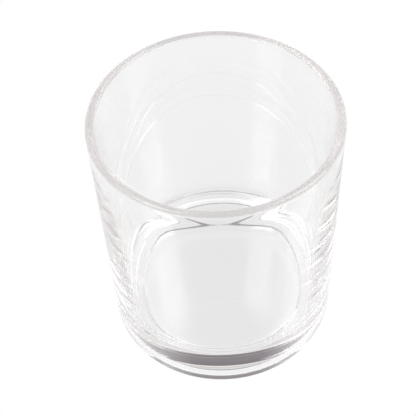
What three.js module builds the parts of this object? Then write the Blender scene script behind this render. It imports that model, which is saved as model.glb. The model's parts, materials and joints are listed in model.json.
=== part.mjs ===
// Empty candle jar: a straight-sided, heavy-based glass tumbler, moulded in one piece.
// Millimetres, +Z up, origin at the centre of the ring that the jar stands on.
import * as THREE from "three";

// Overall size
const RIM_DIAMETER = 80; // outside, at the mouth
const HEIGHT = 92; // standing plane to the top of the rim
const DRAFT = 0.8; // how much the outer radius draws in from the mouth to the foot

// Wall and rim
const RIM_WALL = 2.9; // thickness of the rounded rim
const RIM_ARC_STEPS = 12;
const RIM_BEAD = 0.35; // how much of the rim's thickness is the bead on its inner side
const BEAD_FADE = 6; // depth over which the bead fades into the wall
const FOOT_WALL = 3.9; // wall where it meets the fillet of the inner floor
const INNER_WALL_STEPS = 10;

// Heavy base
const FLOOR_THICKNESS = 10.4; // inner floor down to the edge of the raised underside
const FLOOR_FILLET = 7; // inner floor into the wall
const FILLET_STEPS = 8;
const HEEL_RADIUS = 1.8; // outer wall into the standing ring
const HEEL_STEPS = 6;

// Underside
const PUSH_UP = 2; // how far the underside is raised at its edge, inside the standing ring
const PUSH_UP_CROWN = 1; // how much further it rises to the middle
const CROWN_STEPS = 6;
const RING_WIDTH = 4; // flat width of the standing ring
const PUSH_UP_SLOPE = 2.5; // width over which the ring rises into the raised underside
const SLOPE_STEPS = 6;

const TURN_SEGMENTS = 96; // facets round the jar

const GLASS = new THREE.MeshStandardMaterial({
  color: 0xeff1f0,
  roughness: 0.03,
  metalness: 0,
  transparent: true,
  opacity: 0.35,
});

// Points of an arc in the profile plane, x the radius and y the height, without its first point.
function arc(centreX, centreY, radius, fromAngle, toAngle, steps) {
  return Array.from({ length: steps }, (_, i) => {
    const angle = fromAngle + ((toAngle - fromAngle) * (i + 1)) / steps;
    return new THREE.Vector2(
      centreX + radius * Math.cos(angle),
      centreY + radius * Math.sin(angle),
    );
  });
}

// A smooth step down from the raised underside to the standing ring, flat at both ends.
function risingSlope(innerRadius, outerRadius, height, steps) {
  return Array.from({ length: steps }, (_, i) => {
    const share = (i + 1) / steps;
    return new THREE.Vector2(
      innerRadius + (outerRadius - innerRadius) * share,
      (height * (1 + Math.cos(Math.PI * share))) / 2,
    );
  });
}

// A shallow parabolic crown, from the middle out to its edge.
function crown(edgeRadius, edgeHeight, rise, steps) {
  return Array.from({ length: steps + 1 }, (_, i) => {
    const share = i / steps;
    return new THREE.Vector2(edgeRadius * share, edgeHeight + rise * (1 - share ** 2));
  });
}

function underside(footRadius) {
  const ringOuter = footRadius - HEEL_RADIUS;
  const ringInner = ringOuter - RING_WIDTH;
  const crownRadius = ringInner - PUSH_UP_SLOPE;
  return [
    ...crown(crownRadius, PUSH_UP, PUSH_UP_CROWN, CROWN_STEPS),
    ...risingSlope(crownRadius, ringInner, PUSH_UP, SLOPE_STEPS),
    new THREE.Vector2(ringOuter, 0),
    ...arc(ringOuter, HEEL_RADIUS, HEEL_RADIUS, -Math.PI / 2, 0, HEEL_STEPS),
  ];
}

function roundedRim(rimRadius) {
  const half = RIM_WALL / 2;
  const centreY = HEIGHT - half;
  return [
    new THREE.Vector2(rimRadius, centreY),
    ...arc(rimRadius - half, centreY, half, 0, Math.PI, RIM_ARC_STEPS),
  ];
}

// Down the inner wall, with its points closest together where the bead curves.
function beadedWall(topRadius, topY, footRadius, footY) {
  const belowBead = topRadius + RIM_BEAD;
  return Array.from({ length: INNER_WALL_STEPS }, (_, i) => {
    const share = ((i + 1) / INNER_WALL_STEPS) ** 1.5;
    const drop = (topY - footY) * share;
    const bead = RIM_BEAD * Math.exp(-((drop / BEAD_FADE) ** 2));
    return new THREE.Vector2(belowBead + (footRadius - belowBead) * share - bead, topY - drop);
  });
}

function inside(rimRadius, footRadius, floorHeight) {
  const floorWallRadius = footRadius - FOOT_WALL;
  const centreX = floorWallRadius - FLOOR_FILLET;
  const centreY = floorHeight + FLOOR_FILLET;
  return [
    ...beadedWall(rimRadius - RIM_WALL, HEIGHT - RIM_WALL / 2, floorWallRadius, centreY),
    ...arc(centreX, centreY, FLOOR_FILLET, 0, -Math.PI / 2, FILLET_STEPS),
    new THREE.Vector2(0, floorHeight),
  ];
}

function glassJar() {
  const rimRadius = RIM_DIAMETER / 2;
  const footRadius = rimRadius - DRAFT;
  const floorHeight = PUSH_UP + FLOOR_THICKNESS;
  const profile = [
    ...underside(footRadius),
    ...roundedRim(rimRadius),
    ...inside(rimRadius, footRadius, floorHeight),
  ];
  const geometry = new THREE.LatheGeometry(profile, TURN_SEGMENTS);
  geometry.rotateX(Math.PI / 2);
  const mesh = new THREE.Mesh(geometry, GLASS);
  mesh.name = "glass_jar";
  return mesh;
}

const candleJar = new THREE.Group();
candleJar.add(glassJar());

export default candleJar;
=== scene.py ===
"""A clear, heavy-based glass candle jar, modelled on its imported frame, and the stage that shows it."""

import json
import math

import bpy
from mathutils import Matrix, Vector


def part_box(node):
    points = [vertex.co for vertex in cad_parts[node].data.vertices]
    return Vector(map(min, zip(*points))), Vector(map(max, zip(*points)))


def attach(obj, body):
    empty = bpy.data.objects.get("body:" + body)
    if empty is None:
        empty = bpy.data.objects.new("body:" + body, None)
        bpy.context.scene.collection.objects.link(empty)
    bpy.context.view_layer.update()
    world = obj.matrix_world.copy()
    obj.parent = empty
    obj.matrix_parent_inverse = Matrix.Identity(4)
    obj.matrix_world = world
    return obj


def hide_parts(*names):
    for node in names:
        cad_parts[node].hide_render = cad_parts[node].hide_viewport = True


bl_info = {
    "name": "Glass Candle Jar",
    "version": (1, 0, 0),
    "blender": (4, 5, 0),
    "location": "3D View > Sidebar > Candle Jar",
    "description": "Models a clear, heavy-based glass candle jar and the stage that shows it",
    "category": "Object",
}

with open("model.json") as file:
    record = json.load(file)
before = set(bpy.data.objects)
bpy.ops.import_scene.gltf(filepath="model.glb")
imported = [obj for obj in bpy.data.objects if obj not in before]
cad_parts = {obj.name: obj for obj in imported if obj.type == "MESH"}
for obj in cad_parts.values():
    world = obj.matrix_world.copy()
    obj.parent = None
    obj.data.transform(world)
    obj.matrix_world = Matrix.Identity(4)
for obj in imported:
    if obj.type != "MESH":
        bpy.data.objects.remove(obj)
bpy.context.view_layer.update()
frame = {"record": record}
JAR_BODY = "root"
JAR_NODE = "glass_jar"
MM = 0.001
CENTRE = (0.0, 0.0, 0.0)
UPWARDS = (0.0, 0.0, 1.0)
WHITE = (1.0, 1.0, 1.0)
BLACK = (0.0, 0.0, 0.0)
NEAR = 1e-6  # points closer than this are the same point
HOLD = 0.15 * MM  # an edge this near a corner keeps the flat beside it flat
CROWDING = 1.5  # over 1, gathers the inner wall's points under the rim, where the bead curves
TABLE_DROP = 0.05 * MM  # keeps the table's face off the standing ring's
QUARTER_TURN = math.pi / 2
SENSOR_WIDTH = 36.0  # of the camera, in millimetres
NEAREST_SEEN = 10 * MM
LIGHT_BOUNCES = 32
MIRROR_BOUNCES = 24

JAR_LOW, JAR_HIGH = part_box(JAR_NODE)
JAR_HEIGHT = JAR_HIGH.z - JAR_LOW.z
RIM_RADIUS = JAR_HIGH.x


def mount_height(name):
    """Height of one of the frame's mounts above the standing plane."""
    return next(m["pos_m"][2] for m in frame["record"]["mounts"] if m["name"] == name)


def length(name, description, default):
    """A size in metres, as a user would change it."""
    return bpy.props.FloatProperty(
        name=name, description=description, default=default, min=0.0, precision=5, unit="LENGTH"
    )


def angle(name, description, degrees):
    """An angle that is written here in degrees."""
    return bpy.props.FloatProperty(
        name=name, description=description, default=math.radians(degrees), subtype="ANGLE"
    )


def number(name, description, default):
    """A plain number, such as a brightness."""
    return bpy.props.FloatProperty(name=name, description=description, default=default, min=0.0)


def colour(name, description, default):
    """A linear colour."""
    return bpy.props.FloatVectorProperty(
        name=name, description=description, default=default, subtype="COLOR", min=0.0, max=1.0
    )


class JarSizes(bpy.types.PropertyGroup):
    """The jar's shape. Its height, width and floor come from the frame."""

    height: length("Height", "Standing plane to the top of the rim", JAR_HEIGHT)
    rim_radius: length("Rim radius", "Outer radius at the mouth", RIM_RADIUS)
    floor_height: length("Floor height", "Inner floor above the table", mount_height("inner_floor"))
    draft: length("Draft", "How much the outer radius draws in from mouth to foot", 0.8 * MM)
    rim_wall: length("Rim wall", "Thickness of the fire-polished rim", 2.9 * MM)
    rim_bead: length("Rim bead", "How much of the rim's thickness is its inner bead", 0.35 * MM)
    bead_fade: length("Bead fade", "Depth over which the bead fades into the wall", 6.0 * MM)
    foot_wall: length("Foot wall", "Wall where it meets the inner floor", 3.9 * MM)
    floor_fillet: length("Floor fillet", "Inner floor into the wall", 7.0 * MM)
    heel_radius: length("Heel radius", "Outer wall into the standing ring", 1.8 * MM)
    ring_width: length("Standing ring", "Flat width that the jar stands on", 4.0 * MM)
    push_up: length("Push-up", "How far the underside steps up inside the ring", 2.0 * MM)
    push_up_slope: length("Push-up slope", "Width over which the underside steps up", 2.5 * MM)
    push_up_crown: length("Push-up crown", "Further rise to the underside's middle", 1.0 * MM)
    ripple: length("Ripple", "Unevenness that the plunger leaves on the inner skin", 0.008 * MM)
    ripple_length: length("Ripple length", "Size of the ripple's waves round the jar", 22.0 * MM)
    ripple_stretch: number("Ripple stretch", "How many times taller the waves are than wide", 4.0)
    ripple_fade: length("Ripple fade", "How far from the floor and the rim the ripple fades", 8.0 * MM)
    turn_steps: bpy.props.IntProperty(
        name="Turn steps", description="Faces round the jar", default=256, min=48
    )
    arc_steps: bpy.props.IntProperty(
        name="Arc steps", description="Faces over each rounded corner", default=16, min=4
    )
    wall_steps: bpy.props.IntProperty(
        name="Wall steps", description="Faces up each wall and over each disc", default=40, min=4
    )


class GlassFinish(bpy.types.PropertyGroup):
    """What the clear glass looks like."""

    tint: colour("Tint", "Colour that a wall of the glass lets through", (0.992, 0.993, 0.992))
    haze_tint: colour("Haze tint", "Colour where the glass is a little hazier", (0.982, 0.983, 0.982))
    bending: number("Bending", "Index of refraction", 1.52)
    depth_tint: colour("Depth tint", "Colour that deep glass turns", (0.33, 0.22, 0.21))
    depth: number("Depth", "How fast deep glass darkens, per metre", 2.9)
    smear: number("Smear", "Roughness of the faint smears that handling leaves", 0.008)
    flow: number("Flow lines", "Strength of the long shallow waves in the moulded skin", 0.001)
    flow_stretch: number("Flow stretch", "Under 1 draws the flow lines and smears out up the jar", 0.18)
    peel: number("Peel", "Height of the fine skin texture as a share of the flow lines", 0.12)


class StageLook(bpy.types.PropertyGroup):
    """The table, the softboxes, the room and the camera."""

    table_size: length("Table size", "Width of the pale table", 6.0)
    table_white: number("Table white", "How bright the table is seen through the glass", 0.865)
    table_tone: colour("Table tone", "Colour of the table's own surface", (0.02, 0.02, 0.02))
    table_gloss: number("Table gloss", "Index of refraction of the table's polish", 1.7)
    table_blur: number("Table blur", "Roughness of the table's polish", 0.04)
    left_turn: angle("Left turn", "How far the left softbox stands round from the camera", 57)
    right_turn: angle("Right turn", "How far the right softbox stands round from the camera", 81)
    box_rise: angle("Softbox rise", "Height of each softbox over the horizon", 45)
    box_distance: length("Softbox distance", "From the jar to each softbox", 0.9)
    box_width: length("Softbox width", "Width of each softbox", 0.32)
    box_height: length("Softbox height", "Height of each softbox", 0.75)
    box_white: number("Softbox white", "Radiance of each softbox beside the table's", 3.2)
    room_low: colour("Room low", "Colour of the room near the horizon", (0.95, 0.95, 0.95))
    room_middle: colour("Room middle", "Colour of the room half way up", (0.6, 0.595, 0.6))
    room_high: colour("Room overhead", "Colour of the room overhead", (0.205, 0.185, 0.203))
    middle_start: number("Middle start", "Sine of the height where the middle begins", 0.35)
    middle_end: number("Middle end", "Sine of the height where the middle ends", 0.55)
    overhead_start: number("Overhead start", "Sine of the height where overhead begins", 0.75)
    room_left: colour("Room left", "Colour of the wall to the left", (0.95, 0.95, 0.95))
    room_right: colour("Room right", "Colour of the wall to the right", (0.8, 0.8, 0.8))
    wall_start: number("Wall start", "Squared sideways direction where the side walls begin", 0.03)
    wall_end: number("Wall end", "Squared sideways direction where the side walls are pale", 0.24)
    wall_blend: number("Wall blend", "Half the share of the room over which left turns to right", 0.05)
    camera_back: length("Camera back", "How far the camera stands in front of the jar", 0.2201)
    camera_up: length("Camera up", "Height of the camera over the table", 0.3124)
    camera_pan: angle("Camera pan", "Turn to the right", -0.963)
    camera_tilt: angle("Camera tilt", "Turn downwards", 50.22)
    camera_roll: angle("Camera roll", "Lean", -3.117)
    focal_length: number("Focal length", "In millimetres, on a 36 mm sensor", 88.03)


class Value:
    """A shader socket that takes part in Python arithmetic, adding Math nodes as it goes."""

    def __init__(self, shader, socket):
        self.shader = shader
        self.socket = socket

    def combine(self, operation, first, second):
        """The value that a Math node makes of two others."""
        math_node = self.shader.node(
            "ShaderNodeMath", {"operation": operation}, {0: first, 1: second}
        )
        return math_node.out(0)

    def __add__(self, other):
        return self.combine("ADD", self, other)

    __radd__ = __add__

    def __mul__(self, other):
        return self.combine("MULTIPLY", self, other)

    __rmul__ = __mul__

    def __pow__(self, other):
        return self.combine("POWER", self, other)


class Made:
    """A node that was added, and its sockets by name or place."""

    def __init__(self, shader, node):
        self.shader = shader
        self.node = node

    def out(self, key):
        return Value(self.shader, self.node.outputs[key])


class Shader:
    """One node tree, emptied, with one method that adds every node."""

    def __init__(self, owner):
        owner.use_nodes = True
        self.tree = owner.node_tree
        self.tree.nodes.clear()

    def node(self, kind, settings=None, sockets=None):
        """Adds a node, sets what it is, then gives its sockets values or links."""
        node = self.tree.nodes.new(kind)
        for name, value in (settings or {}).items():
            if name == "stops":
                ramp = node.color_ramp.elements
                while len(ramp) < len(value):
                    ramp.new(1.0)
                for element, (place, tone) in zip(ramp, value):
                    element.position = place
                    element.color = (*tone, 1.0)
            else:
                setattr(node, name, value)
        for key, value in (sockets or {}).items():
            if isinstance(value, Value):
                self.tree.links.new(value.socket, node.inputs[key])
            else:
                node.inputs[key].default_value = value
        return Made(self, node)


def noise(shader, place, scale, detail, roughness=0.5, distortion=0.0):
    """A noise pattern from 0 to 1, with scale blotches to the metre."""
    sockets = {
        "Vector": place,
        "Scale": scale,
        "Detail": detail,
        "Roughness": roughness,
        "Distortion": distortion,
    }
    return shader.node("ShaderNodeTexNoise", sockets=sockets).out("Fac")


def glass_material(finish):
    """Clear pressed glass: faintly uneven in tint, smears and surface, and sharp to look through."""
    material = bpy.data.materials.new("clear_glass")
    shader = Shader(material)
    place = shader.node("ShaderNodeTexCoord").out("Object")
    stretch = (1.0, 1.0, finish.flow_stretch)
    drawn_out = shader.node("ShaderNodeMapping", sockets={"Vector": place, "Scale": stretch}).out(0)
    flow = noise(shader, drawn_out, scale=150.0, detail=2.0, roughness=0.4)
    peel = noise(shader, place, scale=420.0, detail=1.0)
    haze = noise(shader, place, scale=32.0, detail=3.0)
    smears = noise(shader, drawn_out, scale=70.0, detail=4.0, distortion=0.6)
    tint = shader.node(
        "ShaderNodeMix",
        {"data_type": "RGBA"},
        {0: haze, 6: (*finish.tint, 1.0), 7: (*finish.haze_tint, 1.0)},
    )
    height = flow + peel * finish.peel
    bump = shader.node(
        "ShaderNodeBump", sockets={"Strength": finish.flow, "Distance": MM, "Height": height}
    )
    surface = shader.node(
        "ShaderNodeBsdfPrincipled",
        sockets={
            "Base Color": tint.out(2),
            "Roughness": smears**3.0 * finish.smear,
            "IOR": finish.bending,
            "Transmission Weight": 1.0,
            "Normal": bump.out(0),
        },
    )
    deep = shader.node(
        "ShaderNodeVolumeAbsorption",
        sockets={"Color": (*finish.depth_tint, 1.0), "Density": finish.depth},
    )
    shader.node(
        "ShaderNodeOutputMaterial", sockets={"Surface": surface.out(0), "Volume": deep.out(0)}
    )
    return material


def table_material(look):
    """A pale polished table that is mostly bright by itself, so that it stays even."""
    material = bpy.data.materials.new("pale_table")
    shader = Shader(material)
    surface = shader.node(
        "ShaderNodeBsdfPrincipled",
        sockets={
            "Base Color": (*look.table_tone, 1.0),
            "Roughness": look.table_blur,
            "IOR": look.table_gloss,
            "Emission Color": (*WHITE, 1.0),
            "Emission Strength": look.table_white,
        },
    )
    shader.node("ShaderNodeOutputMaterial", sockets={"Surface": surface.out(0)})
    return material


def arc(centre, radius, start, end, steps):
    """Points along an arc of the section, without its first point."""
    turns = [start + (end - start) * step / steps for step in range(1, steps + 1)]
    return [
        (centre[0] + radius * math.cos(turn), centre[1] + radius * math.sin(turn)) for turn in turns
    ]


def underside_section(sizes):
    """From the middle of the underside over its shallow crown and step to the standing ring."""
    ring_outer = sizes.rim_radius - sizes.draft - sizes.heel_radius
    ring_inner = ring_outer - sizes.ring_width
    crown_radius = ring_inner - sizes.push_up_slope
    points = []
    for step in range(sizes.wall_steps + 1):
        share = step / sizes.wall_steps
        points.append((crown_radius * share, sizes.push_up + sizes.push_up_crown * (1 - share**2)))
    for step in range(1, sizes.arc_steps + 1):
        share = step / sizes.arc_steps
        rise = sizes.push_up * (1 + math.cos(math.pi * share)) / 2
        points.append((crown_radius + sizes.push_up_slope * share, rise))
    points.append((ring_inner + HOLD, 0.0))
    points.append((ring_outer - HOLD, 0.0))
    points.append((ring_outer, 0.0))
    return points


def outer_section(sizes):
    """The rounded heel, the outer wall and the full-round rim."""
    foot_radius = sizes.rim_radius - sizes.draft
    heel = (foot_radius - sizes.heel_radius, sizes.heel_radius)
    points = arc(heel, sizes.heel_radius, -QUARTER_TURN, 0.0, sizes.arc_steps)
    half_rim = sizes.rim_wall / 2
    rim = (sizes.rim_radius - half_rim, sizes.height - half_rim)
    for step in range(1, sizes.wall_steps + 1):
        share = step / sizes.wall_steps
        height = sizes.heel_radius + (rim[1] - sizes.heel_radius) * share
        points.append((foot_radius + sizes.draft * share, height))
    return points + arc(rim, half_rim, 0.0, 2 * QUARTER_TURN, 2 * sizes.arc_steps)


def inner_section(sizes):
    """The inner wall under its bead, the fillet and the flat inner floor."""
    foot_radius = sizes.rim_radius - sizes.draft - sizes.foot_wall
    below_bead = sizes.rim_radius - sizes.rim_wall + sizes.rim_bead
    top = sizes.height - sizes.rim_wall / 2
    low = sizes.floor_height + sizes.floor_fillet
    points = []
    for step in range(1, 2 * sizes.wall_steps + 1):
        share = (step / (2 * sizes.wall_steps)) ** CROWDING
        drop = (top - low) * share
        bead = sizes.rim_bead * math.exp(-((drop / sizes.bead_fade) ** 2))
        points.append((below_bead + (foot_radius - below_bead) * share - bead, top - drop))
    fillet = (foot_radius - sizes.floor_fillet, low)
    points += arc(fillet, sizes.floor_fillet, 0.0, -QUARTER_TURN, 2 * sizes.arc_steps)
    points.append((fillet[0] - HOLD, sizes.floor_height))
    points.append((0.0, sizes.floor_height))
    return points


def turned_glass(sizes):
    """Draws half of the jar's section from one point, as a chain of edges, and spins it round."""
    section = underside_section(sizes) + outer_section(sizes) + inner_section(sizes)
    bpy.ops.object.select_all(action="DESELECT")
    bpy.ops.mesh.primitive_plane_add(size=sizes.rim_wall, location=(0.0, 0.0, section[0][1]))
    jar = bpy.context.object
    jar.name = "clear_glass_jar"
    bpy.ops.object.transform_apply(location=True, rotation=True, scale=True)
    bpy.ops.object.mode_set(mode="EDIT")
    bpy.ops.mesh.select_all(action="SELECT")
    bpy.ops.mesh.merge(type="CENTER")
    for (radius, height), (next_radius, next_height) in zip(section, section[1:]):
        step = (next_radius - radius, 0.0, next_height - height)
        bpy.ops.mesh.extrude_vertices_move(TRANSFORM_OT_translate={"value": step})
    bpy.ops.mesh.select_all(action="SELECT")
    bpy.ops.mesh.spin(steps=sizes.turn_steps, angle=4 * QUARTER_TURN, center=CENTRE, axis=UPWARDS)
    bpy.ops.mesh.select_all(action="SELECT")
    bpy.ops.mesh.remove_doubles(threshold=NEAR)
    bpy.ops.mesh.dissolve_degenerate(threshold=NEAR)
    bpy.ops.mesh.select_all(action="SELECT")
    bpy.ops.mesh.normals_make_consistent(inside=False)
    bpy.ops.object.mode_set(mode="OBJECT")
    return jar


def radius_of(vert):
    """How far a vertex stands from the jar's axis."""
    return math.hypot(vert.co.x, vert.co.y)


def ripple_inner_skin(jar, sizes):
    """Lets the inner wall wander a little, in long waves that follow the plunger's stroke."""
    inner = sizes.rim_radius - sizes.rim_wall
    skin = jar.vertex_groups.new(name="inner_skin")
    low = sizes.floor_height + NEAR
    high = sizes.height - sizes.rim_wall
    for vert in jar.data.vertices:
        if radius_of(vert) < inner and low < vert.co.z < high:
            from_ends = min(vert.co.z - low, high - vert.co.z)
            skin.add([vert.index], min(1.0, from_ends / sizes.ripple_fade), "REPLACE")
    bpy.ops.object.empty_add(type="PLAIN_AXES")
    stretch = bpy.context.object
    stretch.scale = (1.0, 1.0, sizes.ripple_stretch)
    bpy.context.view_layer.update()
    waves = bpy.data.textures.new("plunger_waves", "CLOUDS")
    waves.noise_scale = sizes.ripple_length
    waves.noise_depth = 1
    mould = jar.modifiers.new("plunger_waves", "DISPLACE")
    mould.texture = waves
    mould.texture_coords = "OBJECT"
    mould.texture_coords_object = stretch
    mould.vertex_group = skin.name
    mould.mid_level = 0.5
    mould.strength = 2 * sizes.ripple
    bpy.ops.object.select_all(action="DESELECT")
    jar.select_set(True)
    bpy.context.view_layer.objects.active = jar
    bpy.ops.object.modifier_apply(modifier=mould.name)
    bpy.data.objects.remove(stretch)
    jar.vertex_groups.clear()


class CANDLEJAR_OT_glass_jar(bpy.types.Operator):
    """Model the one-piece glass jar in place of the frame's plain solid"""

    bl_idname = "candlejar.glass_jar"
    bl_label = "Glass Jar"

    def execute(self, context):
        sizes = context.scene.candlejar_sizes
        jar = turned_glass(sizes)
        if sizes.ripple > 0:
            ripple_inner_skin(jar, sizes)
        bpy.ops.object.shade_smooth()
        jar.data.materials.clear()
        jar.data.materials.append(glass_material(context.scene.candlejar_finish))
        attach(jar, JAR_BODY)
        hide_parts(JAR_NODE)
        return {"FINISHED"}


def softbox(name, turn, look):
    """A tall soft light that stands to one side of the camera and faces the jar."""
    level = look.box_distance * math.cos(look.box_rise)
    place = (
        level * math.sin(turn),
        -level * math.cos(turn),
        look.box_distance * math.sin(look.box_rise),
    )
    bpy.ops.object.light_add(type="AREA", location=place)
    light = bpy.context.object
    light.name = name
    light.rotation_euler = (QUARTER_TURN - look.box_rise, 0.0, turn)
    light.data.shape = "RECTANGLE"
    light.data.size = look.box_width
    light.data.size_y = look.box_height
    light.data.energy = look.box_white * math.pi * look.box_width * look.box_height
    light.visible_camera = False


def light_room(scene, look):
    """A white table's glow below the horizon, pale walls to the sides, and dark overhead."""
    world = bpy.data.worlds.new("studio_room")
    scene.world = world
    shader = Shader(world)
    direction = shader.node("ShaderNodeTexCoord").out("Generated")
    axes = shader.node("ShaderNodeSeparateXYZ", sockets={0: direction})
    sideways = axes.out("X")
    upwards = axes.out("Z")
    heights = (
        (0.0, look.room_low),
        (look.middle_start, look.room_middle),
        (look.middle_end, look.room_middle),
        (look.overhead_start, look.room_high),
    )
    by_height = shader.node("ShaderNodeValToRGB", {"stops": heights}, {0: upwards})
    sides = ((0.5 - look.wall_blend, look.room_left), (0.5 + look.wall_blend, look.room_right))
    walls = shader.node("ShaderNodeValToRGB", {"stops": sides}, {0: sideways * 0.5 + 0.5})
    edges = ((look.wall_start, BLACK), (look.wall_end, WHITE))
    on_walls = shader.node("ShaderNodeValToRGB", {"stops": edges}, {0: sideways * sideways})
    around = shader.node(
        "ShaderNodeMix",
        {"data_type": "RGBA"},
        {0: on_walls.out(0), 6: by_height.out(0), 7: walls.out(0)},
    )
    below = shader.node("ShaderNodeMath", {"operation": "LESS_THAN"}, {0: upwards, 1: 0.0})
    room = shader.node(
        "ShaderNodeMix",
        {"data_type": "RGBA"},
        {0: below.out(0), 6: around.out(2), 7: (*WHITE, 1.0)},
    )
    background = shader.node("ShaderNodeBackground", sockets={"Color": room.out(2), "Strength": 1.0})
    shader.node("ShaderNodeOutputWorld", sockets={"Surface": background.out(0)})


class CANDLEJAR_OT_camera(bpy.types.Operator):
    """Place the camera in front of the jar, looking down into its mouth"""

    bl_idname = "candlejar.camera"
    bl_label = "Camera"

    def execute(self, context):
        look = context.scene.candlejar_stage
        bpy.ops.object.camera_add(location=(0.0, -look.camera_back, look.camera_up))
        camera = bpy.context.object
        camera.name = "studio_camera"
        turn = Matrix.Rotation(-look.camera_pan, 3, "Z")
        tilt = Matrix.Rotation(QUARTER_TURN - look.camera_tilt, 3, "X")
        roll = Matrix.Rotation(look.camera_roll, 3, "Z")
        camera.rotation_euler = (turn @ tilt @ roll).to_euler()
        camera.data.lens = look.focal_length
        camera.data.sensor_width = SENSOR_WIDTH
        camera.data.clip_start = NEAREST_SEEN
        context.scene.camera = camera
        return {"FINISHED"}


class CANDLEJAR_OT_stage(bpy.types.Operator):
    """Lay the pale table and set up the two softboxes and the room"""

    bl_idname = "candlejar.stage"
    bl_label = "Stage"

    def execute(self, context):
        scene = context.scene
        look = scene.candlejar_stage
        bpy.ops.object.select_all(action="DESELECT")
        bpy.ops.mesh.primitive_plane_add(size=look.table_size, location=(0.0, 0.0, -TABLE_DROP))
        table = bpy.context.object
        table.name = "table"
        table.data.materials.append(table_material(look))
        table.visible_camera = False
        softbox("left_softbox", -look.left_turn, look)
        softbox("right_softbox", look.right_turn, look)
        light_room(scene, look)
        scene.view_settings.view_transform = "Standard"
        scene.cycles.max_bounces = LIGHT_BOUNCES
        scene.cycles.transmission_bounces = LIGHT_BOUNCES
        scene.cycles.glossy_bounces = MIRROR_BOUNCES
        return {"FINISHED"}


class CANDLEJAR_PT_panel(bpy.types.Panel):
    """Lists the steps that make the jar and its stage"""

    bl_label = "Candle Jar"
    bl_idname = "CANDLEJAR_PT_panel"
    bl_space_type = "VIEW_3D"
    bl_region_type = "UI"
    bl_category = "Candle Jar"

    def draw(self, context):
        for operator in OPERATORS:
            self.layout.operator(operator.bl_idname)
        for group in SETTINGS:
            box = self.layout.box()
            for name in getattr(context.scene, group).__annotations__:
                box.prop(getattr(context.scene, group), name)


SETTINGS = {
    "candlejar_sizes": JarSizes,
    "candlejar_finish": GlassFinish,
    "candlejar_stage": StageLook,
}
OPERATORS = (CANDLEJAR_OT_camera, CANDLEJAR_OT_glass_jar, CANDLEJAR_OT_stage)
CLASSES = (*SETTINGS.values(), *OPERATORS, CANDLEJAR_PT_panel)


def register():
    for made in CLASSES:
        bpy.utils.register_class(made)
    for name, group in SETTINGS.items():
        setattr(bpy.types.Scene, name, bpy.props.PointerProperty(type=group))


def unregister():
    for name in SETTINGS:
        delattr(bpy.types.Scene, name)
    for made in reversed(CLASSES):
        bpy.utils.unregister_class(made)


def main():
    """Registers the add-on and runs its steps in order."""
    register()
    bpy.ops.candlejar.camera()
    bpy.ops.candlejar.glass_jar()
    bpy.ops.candlejar.stage()


if __name__ == "__main__":
    main()
